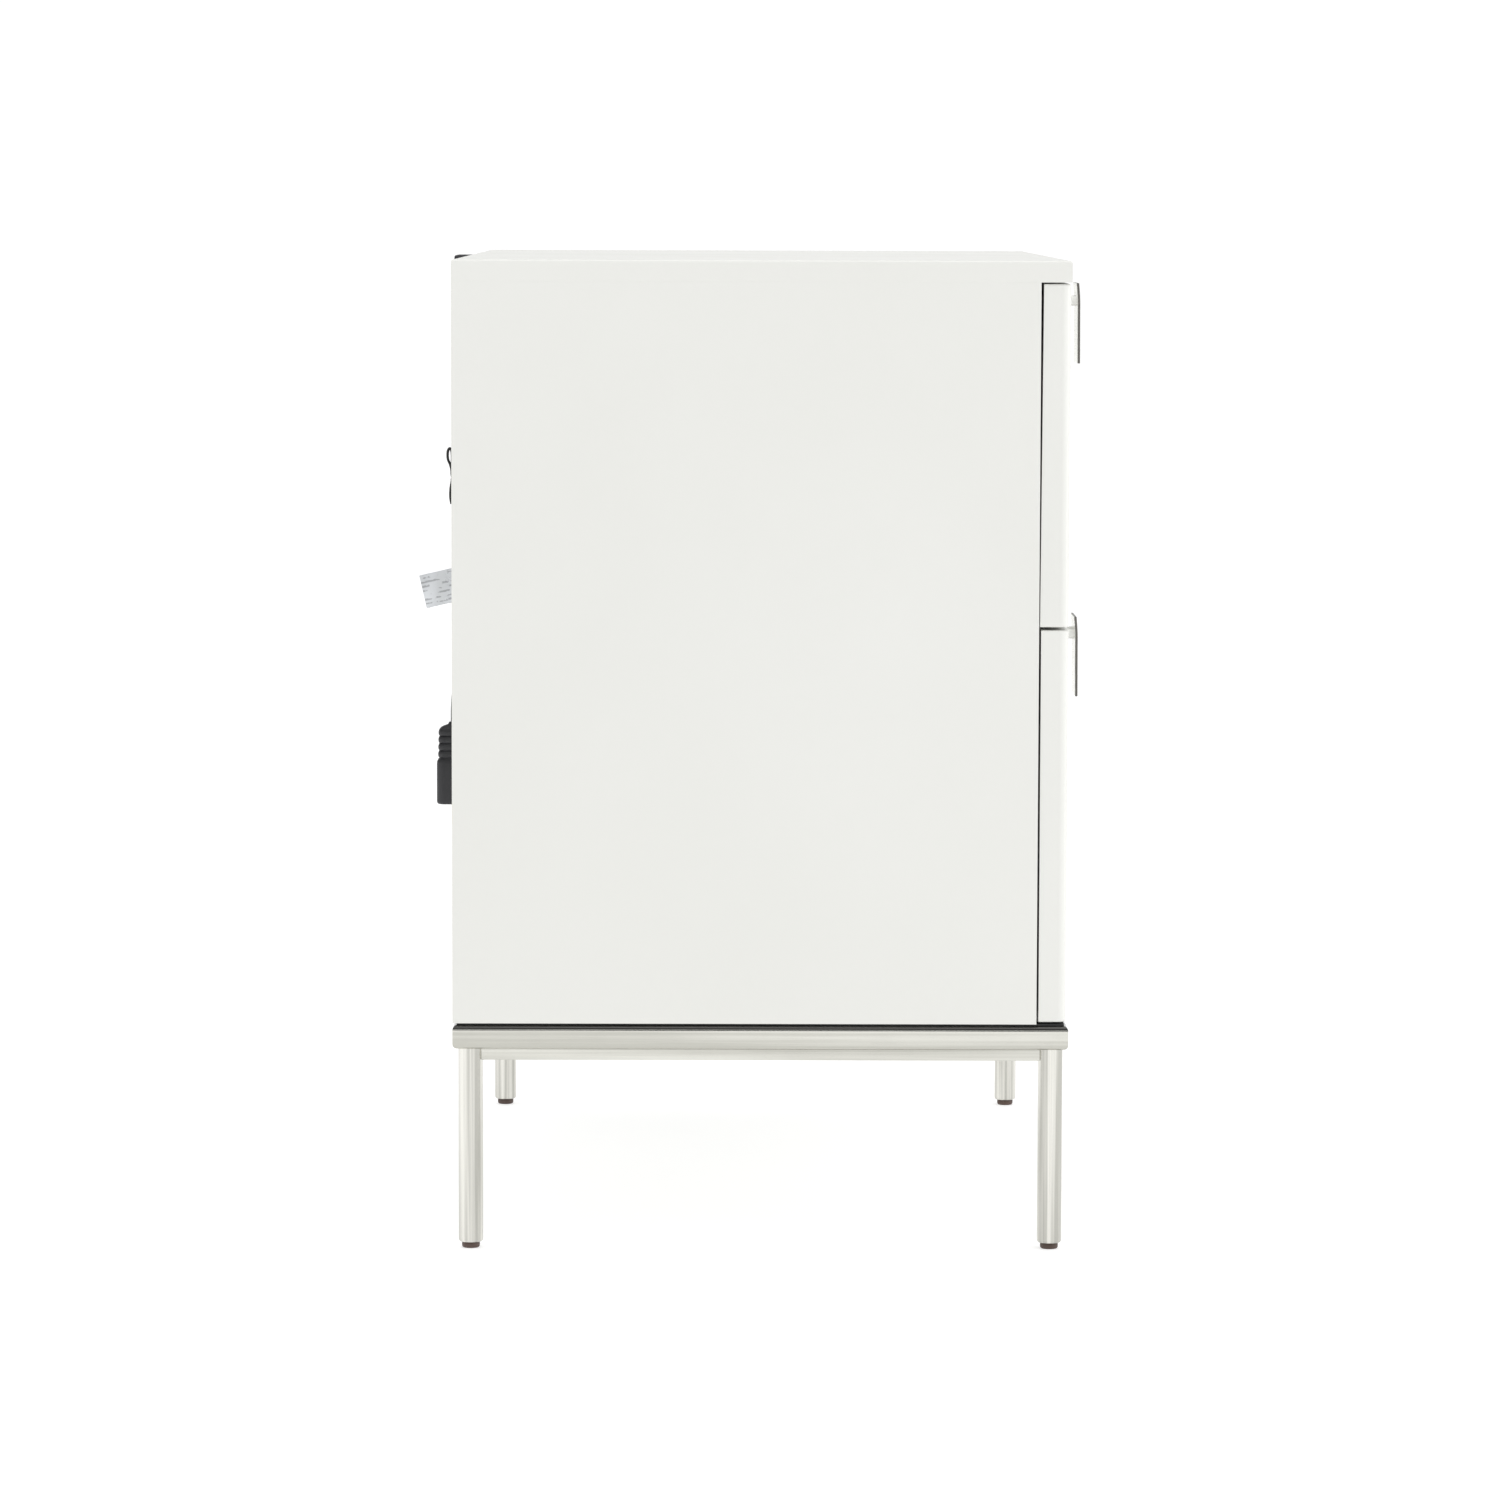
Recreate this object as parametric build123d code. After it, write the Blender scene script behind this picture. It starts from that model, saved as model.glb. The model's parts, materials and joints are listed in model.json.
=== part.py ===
"""A two-drawer lacquered cabinet on a polished steel base, with a UV-C lamp over its upper drawer.

Millimetres. The floor is z = 0, +Z is up, the drawers open towards -Y and the mains lead hangs
behind the back (+Y). Left is -X. The origin is the middle of the floor area that the cabinet covers.
"""

from build123d import *
from typing import NamedTuple
import math
import os

# Overall size
WIDTH = 700.0
DEPTH = 432.0  # from the back of the case to the front edge of the top
HEIGHT = 696.0
PULL_REACH = 16.0  # from a drawer front's face to the outside of its pulls
FRONT_SETBACK = 0.6  # the drawer fronts' faces lie this far behind the top's front edge
BOX_DEPTH = 12.0  # the power box stands this far out from the back
BACK_Y = (DEPTH + PULL_REACH - FRONT_SETBACK - BOX_DEPTH) / 2
FRONT_EDGE = BACK_Y - DEPTH
FACE_Y = FRONT_EDGE + FRONT_SETBACK

# Case panels
TOP_T = 15.0
PANEL_T = 18.0
BACK_T = 12.0
CASE_FRONT = FRONT_EDGE + 21.6  # front edges of the sides, the bottom and the divider
CASE_BOTTOM = 161.0
UNDER_TOP = HEIGHT - TOP_T
HALF_INSIDE = WIDTH / 2 - PANEL_T
BACK_INSIDE = BACK_Y - BACK_T
BOTTOM_TOP = CASE_BOTTOM + PANEL_T
DIVIDER_BOTTOM = 430.5
DIVIDER_TOP = DIVIDER_BOTTOM + PANEL_T
TOP_ROUND = 2.0

# Base: a ring of square tube, four round legs and four bars between them
BASE_FRONT = FRONT_EDGE - 1.0
BASE_BACK = BACK_Y
BASE_HALF_X = WIDTH / 2
GASKET_T = 1.3
GASKET_INSET = 3.0
GASKET_W = 12.0
RAIL_H = 17.2
RAIL_W = 22.0
RAIL_ROUND = 3.8
RAIL_TOP = CASE_BOTTOM - GASKET_T
RAIL_BOTTOM = RAIL_TOP - RAIL_H
TUBE_WALL = 1.5
LEG_D = 17.5
LEG_BORE = 14.0
LEG_INSET = 12.0  # leg centre from the outside of the base
LEG_ROUND = 1.5
LEG_X = BASE_HALF_X - LEG_INSET
LEG_FRONT_Y = BASE_FRONT + LEG_INSET
LEG_BACK_Y = BASE_BACK - LEG_INSET - 0.4
BAR_H = 8.4
BAR_W = 9.5
FOOT_H = 4.2
FOOT_D = 12.8
FOOT_PLUG_H = 12.0
CASE_SCREW_YS = (-150.0, 0.0, 150.0)
CASE_SCREW_X = BASE_HALF_X - RAIL_W / 2

# Drawer fronts
FRONT_HALF_W = WIDTH / 2 - 1.0
FRONT_ROUND = 6.0
EDGE_ROUND = 1.5

# Pulls: a bent plate on two posts
PULL_X = 163.0
PULL_W = 45.0
PULL_H = 58.0
PULL_T = 2.1
PULL_DROP = 1.8  # top of the plate below the top of the front
POST_D = 7.0
POST_X = 13.0
POST_DROP = 13.0
SCREW_D = 4.0
SCREW_HEAD_D = 8.0
SCREW_HEAD_H = 2.5
THREAD_DEPTH = 9.0

# Drawer boxes and their telescopic slides
SLIDE_SPACE = 12.7
BOX_HALF_W = HALF_INSIDE - SLIDE_SPACE
BOX_WALL = 12.0
BOX_BACK_Y = 170.0
BOX_FLOOR_T = 6.0
BOX_FLOOR_UP = 6.0
SLIDE_LENGTH = 350.0
SLIDE_FRONT_Y = CASE_FRONT + 2.5
SLIDE_T = 4.0
SLIDE_GAP = (SLIDE_SPACE - 3 * SLIDE_T) / 2
SLIDE_HEIGHTS = (45.0, 40.0, 35.0)  # case member, middle member, drawer member
SLIDE_WEB = 1.2


class Drawer(NamedTuple):
    """The heights of one drawer, and its front's thickness at the bottom and at the top."""

    name: str
    front_bottom: float
    front_top: float
    thick_low: float
    thick_high: float
    box_bottom: float
    box_top: float
    slide_z: float

    @property
    def back_y(self):
        """Where the drawer's box meets its front."""
        return FACE_Y + self.thick_low

    @property
    def pull_top(self):
        return self.front_top - PULL_DROP

    @property
    def screw_seat_y(self):
        """Where the pull screws' heads seat, sunk in the back of the front."""
        return FACE_Y + self.thick_high - SCREW_HEAD_H

    @property
    def inside_floor(self):
        return self.box_bottom + BOX_FLOOR_UP + BOX_FLOOR_T


UPPER = Drawer("upper", 440.7, 680.0, 20.3, 19.1, 462.0, 602.0, 512.0)
LOWER = Drawer("lower", 162.5, 438.5, 19.5, 19.5, 192.0, 392.0, 262.0)

# What lies in the upper drawer
LINER_T = 0.8
LINER_CLEAR = 0.2
LINER_RIM_DOWN = 5.0
RACK_WIRE_D = 3.0
RACK_FRAME_D = 5.0
RACK_HALF_X = 296.0
RACK_FRONT_Y = -182.0
RACK_BACK_Y = 146.0
RACK_LEG_H = 20.0
RACK_FOOT_X = 284.0
RACK_FOOT_D = 9.0
RACK_WIRES = 19

# Lamp over the upper drawer, and its interlock
FIXTURE_HALF_W = 32.0
FIXTURE_H = 26.0
FIXTURE_FRONT_Y = -100.0
FIXTURE_WALL = 3.0
HOLDER_T = 10.0
HOLDER_HALF_W = 11.0
HOLDER_H = 25.0
LAMP_D = 15.6
LAMP_DOWN = 14.0  # lamp centre below the fixture
WIRE_HOLE_D = 10.0
WIRE_HOLE_Z = 668.0
SWITCH_Z = 560.0

# Power box on the back, with its rocker switch
BOX_HALF_X = 30.0
BOX_BOTTOM = 626.0
BOX_TOP = HEIGHT - 0.5
BOX_SHELL = 2.0
WINDOW_HALF_X = 7.0
WINDOW_HALF_Z = 11.6
WINDOW_COLLAR = 3.0
ROCKER_Z = 655.0
ROCKER_Y = BACK_Y + 5.3
ROCKER_TILT = 6.0
ROCKER_CLEAR = 0.3
PIVOT_D = 2.4
PIVOT_CLEAR = 0.05

# Mains lead: relief, hank, tail, plug. All of it hangs in the plane x = 0.
CORD_D = 6.5
EXIT_Y = BACK_Y + 6.5
RELIEF_BOTTOM = 602.0
HANK_TOP = 594.0
HANK_BOTTOM = 468.0
HANK_HALF_X = 36.0
HANK_FRONT_Y = BACK_Y + 1.0
HANK_BACK_Y = BACK_Y + 14.0
HANK_CORNER = 26.0
TAIL = [
    (0.0, BACK_Y + 8.9, HANK_BOTTOM),
    (0.0, BACK_Y + 8.9, 436.0),
    (0.0, BACK_Y + 13.5, 384.0),
    (0.0, BACK_Y + 13.5, 343.0),
]
TIE_Z = 527.0
TIE_H = 4.0
TIE_T = 0.7
TIE_WIRE_D = 2.2
PLUG_Y = BACK_Y + 13.5
PLUG_TOP = 341.0
PLUG_BOTTOM = 281.0
GRIP_BOTTOM = 316.0
TAG_Y = BACK_Y + 9.0
TAG_Z = 448.0
TAG_H = 25.4
TAG_ANGLE = 13.0
BLADE_FRONT_Y = PLUG_Y - 4.7
BLADE_W = 6.3
BLADE_LENGTH = 17.0


def block(x0, x1, y0, y1, z0, z1):
    """An upright box between two corners."""
    middle = Pos((x0 + x1) / 2, (y0 + y1) / 2, (z0 + z1) / 2)
    return middle * Box(x1 - x0, y1 - y0, z1 - z0)


def rod(x, y, z0, z1, diameter):
    """An upright cylinder."""
    return Pos(x, y, (z0 + z1) / 2) * Cylinder(diameter / 2, z1 - z0)


def rod_y(x, z, y0, y1, diameter):
    """A cylinder along Y."""
    return Pos(x, (y0 + y1) / 2, z) * Rot(90, 0, 0) * Cylinder(diameter / 2, y1 - y0)


def rod_x(y, z, x0, x1, diameter):
    """A cylinder along X."""
    return Pos((x0 + x1) / 2, y, z) * Rot(0, 90, 0) * Cylinder(diameter / 2, x1 - x0)


def profile_x(points, half_width):
    """A closed outline of (y, z) points, extruded to both sides of the plane x = 0."""
    outline = Plane.YZ * make_face(Polyline(*points, close=True))
    return extrude(outline, half_width, both=True)


def level_edges(shape):
    """A box's eight edges that lie level."""
    return shape.edges().filter_by(Axis.X) + shape.edges().filter_by(Axis.Y)


# Case


def top_panel():
    slab = block(-WIDTH / 2, WIDTH / 2, FRONT_EDGE, BACK_Y, UNDER_TOP, HEIGHT)
    return fillet(slab.edges().group_by(Axis.Z)[-1], TOP_ROUND)


def side_panel(side):
    x0, x1 = sorted((side * HALF_INSIDE, side * WIDTH / 2))
    panel = block(x0, x1, CASE_FRONT, BACK_Y, CASE_BOTTOM, UNDER_TOP)
    for y in CASE_SCREW_YS:
        panel -= rod(side * CASE_SCREW_X, y, CASE_BOTTOM, CASE_BOTTOM + 12.2, SCREW_D + 0.1)
    return panel


def shelf(z0):
    """The bottom or the divider: a panel between the sides, in front of the back."""
    return block(-HALF_INSIDE, HALF_INSIDE, CASE_FRONT, BACK_INSIDE, z0, z0 + PANEL_T)


def back_panel():
    panel = block(-HALF_INSIDE, HALF_INSIDE, BACK_INSIDE, BACK_Y, CASE_BOTTOM, UNDER_TOP)
    return panel - rod_y(0, WIRE_HOLE_Z, BACK_INSIDE - 1, BACK_Y + 1, WIRE_HOLE_D)


# Base


def base_ring():
    """The whole ring of square tube, with rounded long edges, before it is mitred."""
    ring = block(-BASE_HALF_X, BASE_HALF_X, BASE_FRONT, BASE_BACK, RAIL_BOTTOM, RAIL_TOP)
    ring = fillet(level_edges(ring), RAIL_ROUND)
    half_x, front, back = BASE_HALF_X - RAIL_W, BASE_FRONT + RAIL_W, BASE_BACK - RAIL_W
    ring -= block(-half_x, half_x, front, back, RAIL_BOTTOM - 1, RAIL_TOP + 1)
    heights = (RAIL_BOTTOM + TUBE_WALL, RAIL_TOP - TUBE_WALL)
    wall = TUBE_WALL
    hollow = block(
        wall - BASE_HALF_X, BASE_HALF_X - wall, BASE_FRONT + wall, BASE_BACK - wall, *heights
    )
    hollow = fillet(level_edges(hollow), RAIL_ROUND - wall)
    hollow -= block(-half_x - wall, half_x + wall, front - wall, back + wall, *heights)
    return ring - hollow


def mitre_wedge(side):
    """The part of the plan that belongs to one side of the ring, cut at 45 degrees at its ends."""
    reach = 5.0
    half_x, front, back = BASE_HALF_X, BASE_FRONT, BASE_BACK
    corners = {
        "left": [(-half_x, front, 1, 1), (-half_x, back, 1, -1)],
        "right": [(half_x, front, -1, 1), (half_x, back, -1, -1)],
        "front": [(-half_x, front, 1, 1), (half_x, front, -1, 1)],
        "back": [(-half_x, back, 1, -1), (half_x, back, -1, -1)],
    }[side]
    inner = RAIL_W + reach
    outline = [(x - reach * sx, y - reach * sy) for x, y, sx, sy in corners]
    outline += [(x + inner * sx, y + inner * sy) for x, y, sx, sy in reversed(corners)]
    face = make_face(Polyline(*outline, close=True))
    return extrude(Pos(0, 0, RAIL_BOTTOM - 1) * face, RAIL_H + 2)


def base_rail(side):
    """Square tube, mitred into its neighbours, with holes for the case screws on the long sides."""
    rail = base_ring() & mitre_wedge(side)
    if side in ("left", "right"):
        x = CASE_SCREW_X if side == "right" else -CASE_SCREW_X
        for y in CASE_SCREW_YS:
            rail -= rod(x, y, RAIL_BOTTOM - 1, RAIL_BOTTOM + 4, SCREW_HEAD_D + 1)
            rail -= rod(x, y, RAIL_TOP - 4, RAIL_TOP + 1, SCREW_D + 0.4)
    return rail


def base_gasket():
    """A black packing strip on the ring of tube, set in from its outside."""
    x, front, back = BASE_HALF_X - GASKET_INSET, BASE_FRONT + GASKET_INSET, BASE_BACK - GASKET_INSET
    heights = (RAIL_TOP - 1, CASE_BOTTOM + 1)
    strip = block(-x, x, front, back, RAIL_TOP, CASE_BOTTOM)
    strip -= block(GASKET_W - x, x - GASKET_W, front + GASKET_W, back - GASKET_W, *heights)
    for screw_x in (-CASE_SCREW_X, CASE_SCREW_X):
        for y in CASE_SCREW_YS:
            strip -= rod(screw_x, y, *heights, SCREW_D + 0.4)
    return strip


def case_screws():
    """Screws from inside the side rails up into the side panels."""
    screws = []
    for x in (-CASE_SCREW_X, CASE_SCREW_X):
        for y in CASE_SCREW_YS:
            head_top = RAIL_TOP - TUBE_WALL
            head = rod(x, y, head_top - SCREW_HEAD_H, head_top, SCREW_HEAD_D)
            screws.append(head + rod(x, y, head_top, CASE_BOTTOM + 12, SCREW_D))
    return screws


def leg(x, y):
    tube = rod(x, y, FOOT_H, RAIL_BOTTOM, LEG_D)
    tube = fillet(tube.edges().group_by(Axis.Z)[0], LEG_ROUND)
    return tube - rod(x, y, FOOT_H - 1, RAIL_BOTTOM + 1, LEG_BORE)


def foot(x, y):
    """A glide: a disc on the floor and a plug pushed up into the leg."""
    disc = rod(x, y, 0, FOOT_H, FOOT_D)
    disc = fillet(disc.edges().group_by(Axis.Z)[0], 1.2)
    return disc + rod(x, y, FOOT_H, FOOT_H + FOOT_PLUG_H, LEG_BORE - 0.1)


def base_bars():
    """Flat bars under the rails, each coped round the two legs that it joins."""
    z0, z1 = RAIL_BOTTOM - BAR_H, RAIL_BOTTOM
    half = BAR_W / 2
    bars = [block(x - half, x + half, LEG_FRONT_Y, LEG_BACK_Y, z0, z1) for x in (-LEG_X, LEG_X)]
    bars += [block(-LEG_X, LEG_X, y - half, y + half, z0, z1) for y in (LEG_FRONT_Y, LEG_BACK_Y)]
    for x in (-LEG_X, LEG_X):
        for y in (LEG_FRONT_Y, LEG_BACK_Y):
            bars = [bar - rod(x, y, z0 - 1, z1 + 1, LEG_D) for bar in bars]
    return bars


# Drawers


def pull_screw_places(drawer):
    """The (x, z) of the four pull screws of a drawer."""
    z = drawer.pull_top - POST_DROP
    return [(side * PULL_X + dx, z) for side in (-1, 1) for dx in (-POST_X, POST_X)]


def drawer_front(drawer):
    z0, z1 = drawer.front_bottom, drawer.front_top
    back_low, back_high = FACE_Y + drawer.thick_low, FACE_Y + drawer.thick_high
    outline = [(FACE_Y, z0), (back_low, z0), (back_high, z1), (FACE_Y, z1)]
    panel = profile_x(outline, FRONT_HALF_W)
    upright = panel.edges().filter_by(Axis.Z)
    panel = fillet(upright.group_by(Axis.Y)[0], FRONT_ROUND)
    for end in (0, -1):
        rim = panel.edges().group_by(Axis.Z)[end]
        rim = [edge for edge in rim if edge.center().Y < back_high - 0.1]
        panel = fillet(rim, EDGE_ROUND)
    for x, z in pull_screw_places(drawer):
        panel -= rod_y(x, z, FACE_Y - 1, back_low, SCREW_D + 0.4)
        panel -= rod_y(x, z, drawer.screw_seat_y, back_low, SCREW_HEAD_D + 0.4)
    return panel


def pull(side, drawer):
    """A plate whose top bends back towards the front, held off it by two tapped posts."""
    top = drawer.pull_top
    outer = FACE_Y - PULL_REACH
    outer_top = (outer + 1.1, top)
    outer_mid = (outer + 0.35, top - 9)
    outer_low = (outer + 0.15, top - 20)
    outer_end = (outer, top - PULL_H)

    def inner(point):
        return (point[0] + PULL_T, point[1])

    outline = ThreePointArc(outer_top, outer_mid, outer_low) + Line(outer_low, outer_end)
    outline += Line(outer_end, inner(outer_end)) + Line(inner(outer_end), inner(outer_low))
    outline += ThreePointArc(inner(outer_low), inner(outer_mid), inner(outer_top))
    outline += Line(inner(outer_top), outer_top)
    plate = extrude(Plane.YZ * make_face(outline), PULL_W / 2, both=True)
    plate = Pos(side * PULL_X, 0, 0) * plate
    plate = fillet(plate.edges(), 0.6)
    for x, z in pull_screw_places(drawer):
        if x * side > 0:
            plate += rod_y(x, z, outer + PULL_T - 1, FACE_Y, POST_D)
            plate -= rod_y(x, z, FACE_Y - THREAD_DEPTH, FACE_Y + 1, SCREW_D + 0.1)
    return plate


def pull_screws(drawer):
    seat = drawer.screw_seat_y
    screws = []
    for x, z in pull_screw_places(drawer):
        shank = rod_y(x, z, FACE_Y - THREAD_DEPTH + 1, seat, SCREW_D)
        screws.append(shank + rod_y(x, z, seat, seat + SCREW_HEAD_H, SCREW_HEAD_D))
    return screws


def drawer_side(side, drawer):
    x0, x1 = sorted((side * (BOX_HALF_W - BOX_WALL), side * BOX_HALF_W))
    panel = block(x0, x1, drawer.back_y, BOX_BACK_Y, drawer.box_bottom, drawer.box_top)
    return fillet(panel.edges().filter_by(Axis.Y).group_by(Axis.Z)[-1], EDGE_ROUND)


def drawer_back(drawer):
    half = BOX_HALF_W - BOX_WALL
    panel = block(
        -half, half, BOX_BACK_Y - BOX_WALL, BOX_BACK_Y, drawer.box_bottom, drawer.box_top
    )
    return fillet(panel.edges().filter_by(Axis.X).group_by(Axis.Z)[-1], EDGE_ROUND)


def drawer_floor(drawer):
    half = BOX_HALF_W - BOX_WALL
    z1 = drawer.inside_floor
    return block(-half, half, drawer.back_y, BOX_BACK_Y - BOX_WALL, z1 - BOX_FLOOR_T, z1)


def slide_members(member, z):
    """The left and right rails of one stage: 0 on the case, 1 in the middle, 2 on the drawer."""
    height = SLIDE_HEIGHTS[member]
    y0, y1 = SLIDE_FRONT_Y, SLIDE_FRONT_Y + SLIDE_LENGTH
    lip = 5.0
    rails = []
    for side in (-1, 1):
        outside = HALF_INSIDE - member * (SLIDE_T + SLIDE_GAP)
        inside = outside - SLIDE_T
        rail = block(*sorted((side * inside, side * outside)), y0, y1, z - height / 2, z + height / 2)
        pocket_out = outside - SLIDE_WEB if member == 0 else outside
        pocket_in = inside + SLIDE_WEB if member == 2 else inside
        if member == 1:
            pocket_out = (outside + inside - SLIDE_WEB) / 2
        pocket = block(
            *sorted((side * pocket_in, side * pocket_out)),
            y0 - 1,
            y1 + 1,
            z - height / 2 + lip,
            z + height / 2 - lip,
        )
        rails.append(rail - pocket)
    return rails


def steel_liner():
    """A folded tray that lines the upper drawer."""
    half = BOX_HALF_W - BOX_WALL - LINER_CLEAR
    y0, y1 = UPPER.back_y + LINER_CLEAR, BOX_BACK_Y - BOX_WALL - LINER_CLEAR
    z0 = UPPER.inside_floor
    z1 = UPPER.box_top - LINER_RIM_DOWN
    tray = block(-half, half, y0, y1, z0, z1)
    inner = half - LINER_T
    return tray - block(-inner, inner, y0 + LINER_T, y1 - LINER_T, z0 + LINER_T, z1 + 1)


def rack_heights():
    """Where the rack's feet stand, and the middle of its frame."""
    floor_z = UPPER.inside_floor + LINER_T
    return floor_z, floor_z + RACK_LEG_H


def wire_rack():
    """A welded wire shelf, which keeps tools off the liner's floor."""
    frame_z = rack_heights()[1]
    rack = rod_x(RACK_FRONT_Y, frame_z, -RACK_HALF_X, RACK_HALF_X, RACK_FRAME_D)
    rack += rod_x(RACK_BACK_Y, frame_z, -RACK_HALF_X, RACK_HALF_X, RACK_FRAME_D)
    wire_z = frame_z + RACK_FRAME_D / 2 + RACK_WIRE_D / 2 - 0.8
    for i in range(RACK_WIRES):
        x = (2 * i / (RACK_WIRES - 1) - 1) * RACK_FOOT_X
        rack += rod_y(x, wire_z, RACK_FRONT_Y - 4, RACK_BACK_Y + 4, RACK_WIRE_D)
    return rack


def rack_feet():
    """Rubber pegs that the rack's frame rests in."""
    floor_z, frame_z = rack_heights()
    feet = []
    for x in (-RACK_FOOT_X, RACK_FOOT_X):
        for y in (RACK_FRONT_Y, RACK_BACK_Y):
            peg = rod(x, y, floor_z, frame_z, RACK_FOOT_D)
            feet.append(peg - rod_x(y, frame_z, x - 20, x + 20, RACK_FRAME_D))
    return feet


# Lamp and interlock


def fixture_body():
    """The lamp's channel: closed in front, open behind to the wire hole in the back panel."""
    z0 = UNDER_TOP - FIXTURE_H
    body = block(-FIXTURE_HALF_W, FIXTURE_HALF_W, FIXTURE_FRONT_Y, BACK_INSIDE, z0, UNDER_TOP)
    body = fillet(body.edges().filter_by(Axis.Y).group_by(Axis.Z)[0], 4)
    inner = FIXTURE_HALF_W - FIXTURE_WALL
    return body - block(
        -inner,
        inner,
        FIXTURE_FRONT_Y + FIXTURE_WALL,
        BACK_INSIDE + 1,
        z0 + FIXTURE_WALL,
        UNDER_TOP - FIXTURE_WALL,
    )


def holder_spans():
    """The (y0, y1) of the two lamp holders."""
    front = FIXTURE_FRONT_Y + 4
    back = BACK_INSIDE - 6
    return [(front, front + HOLDER_T), (back - HOLDER_T, back)]


def lamp_holders():
    z1 = UNDER_TOP - FIXTURE_H
    holders = []
    for y0, y1 in holder_spans():
        holder = block(-HOLDER_HALF_W, HOLDER_HALF_W, y0, y1, z1 - HOLDER_H, z1)
        low = holder.edges().filter_by(Axis.Y).group_by(Axis.Z)[0]
        holders.append(fillet(low, 8))
    return holders


def uv_lamp():
    (_, y0), (y1, _) = holder_spans()
    return rod_y(0, UNDER_TOP - FIXTURE_H - LAMP_DOWN, y0, y1, LAMP_D)


def interlock_switch():
    body = block(-20, 20, BACK_INSIDE - 12, BACK_INSIDE, SWITCH_Z - 7, SWITCH_Z + 7)
    return fillet(body.edges().group_by(Axis.Y)[0], 1.5)


def interlock_magnet():
    body = block(-15, 15, BOX_BACK_Y, BOX_BACK_Y + 8, SWITCH_Z - 6, SWITCH_Z + 6)
    return fillet(body.edges().group_by(Axis.Y)[-1], 1.5)


# Power box


def power_box():
    """A moulded box on the back with a window for the rocker switch."""
    back = BACK_Y + BOX_DEPTH
    box = block(-BOX_HALF_X, BOX_HALF_X, BACK_Y, back, BOX_BOTTOM, BOX_TOP)
    box = fillet(box.edges().filter_by(Axis.Y), 4)
    box = fillet(box.edges().group_by(Axis.Y)[-1], 1.5)
    inner = BOX_HALF_X - BOX_SHELL
    box -= block(
        -inner, inner, BACK_Y - 1, back - BOX_SHELL, BOX_BOTTOM + 10, UNDER_TOP - BOX_SHELL
    )
    collar_x, collar_z = WINDOW_HALF_X + WINDOW_COLLAR, WINDOW_HALF_Z + WINDOW_COLLAR
    box += block(
        -collar_x, collar_x, BACK_Y, back - 1, ROCKER_Z - collar_z, ROCKER_Z + collar_z
    )
    box -= block(
        -WINDOW_HALF_X,
        WINDOW_HALF_X,
        BACK_Y - 1,
        back + 1,
        ROCKER_Z - WINDOW_HALF_Z,
        ROCKER_Z + WINDOW_HALF_Z,
    )
    pin_x = WINDOW_HALF_X + 2
    return box - rod_x(ROCKER_Y, ROCKER_Z, -pin_x, pin_x, PIVOT_D + 2 * PIVOT_CLEAR)


def power_rocker():
    """The rocker, resting with its lower end pressed in (off)."""
    outline = [(3.4, 0), (4.8, 10), (0, 10), (-2.5, 6), (-2.5, -6), (0, -10), (4.8, -10)]
    rocker = profile_x(outline, WINDOW_HALF_X - ROCKER_CLEAR)
    pin_x = WINDOW_HALF_X + 1.5
    rocker += rod_x(0, 0, -pin_x, pin_x, PIVOT_D)
    return Pos(0, ROCKER_Y, ROCKER_Z) * Rot(-ROCKER_TILT, 0, 0) * rocker


# Mains lead


def strain_relief():
    length = BOX_BOTTOM - RELIEF_BOTTOM
    cone = Cone(CORD_D / 2 + 0.4, 5.2, length)
    return Pos(0, EXIT_Y, (BOX_BOTTOM + RELIEF_BOTTOM) / 2) * cone


def corner_radii(points):
    """The largest arc that each corner's two runs allow."""
    radii = []
    for before, at, after in zip(points, points[1:], points[2:]):
        run_in, run_out = Vector(*at) - Vector(*before), Vector(*after) - Vector(*at)
        half_turn = math.radians(run_in.get_angle(run_out)) / 2
        radii.append(0.45 * min(run_in.length, run_out.length) / math.tan(half_turn))
    return radii


def cord_tail():
    """The lead from the hank down into the plug, as straight runs joined by arcs."""
    radii = corner_radii(TAIL)
    path = FilletPolyline(*TAIL, radius=radii)
    start = Plane(origin=TAIL[0], z_dir=path % 0)
    tube = sweep(start * Circle(CORD_D / 2), path=path)
    section = math.pi * CORD_D**2 / 4
    print("tail radii", [round(r) for r in radii], "volume ratio", tube.volume / section / path.length)
    return tube


def cord_hank():
    """The outer shape of the oval hank, which is wound in two layers."""
    hank = block(
        -HANK_HALF_X, HANK_HALF_X, HANK_FRONT_Y, HANK_BACK_Y, HANK_BOTTOM, HANK_TOP
    )
    hank = fillet(hank.edges().filter_by(Axis.Y), HANK_CORNER)
    return fillet(hank.edges().group_by(Axis.Y)[-1] + hank.edges().group_by(Axis.Y)[0], 1.5)


def hank_tie():
    """A wire tie round the middle of the hank, its two bent ends standing out behind."""
    clear = 0.15
    x, y0, y1 = HANK_HALF_X + clear, HANK_FRONT_Y - clear, HANK_BACK_Y + clear
    z0, z1 = TIE_Z - TIE_H / 2, TIE_Z + TIE_H / 2
    band = block(-x - TIE_T, x + TIE_T, y0 - TIE_T, y1 + TIE_T, z0, z1)
    band = fillet(band.edges().filter_by(Axis.Z), 2)
    band -= block(-x, x, y0, y1, z0 - 1, z1 + 1)
    surface = HANK_BACK_Y + clear + TIE_WIRE_D / 2
    upper = ThreePointArc((0, surface, TIE_Z), (0, surface + 3.4, TIE_Z + 13), (0, surface, TIE_Z + 20))
    lower = ThreePointArc((0, surface, TIE_Z), (0, surface + 0.5, TIE_Z - 10), (0, surface, TIE_Z - 18))
    for arc in (upper, lower):
        start = Plane(origin=arc @ 0, z_dir=arc % 0)
        band += sweep(start * Circle(TIE_WIRE_D / 2), path=arc)
    return band


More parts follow.
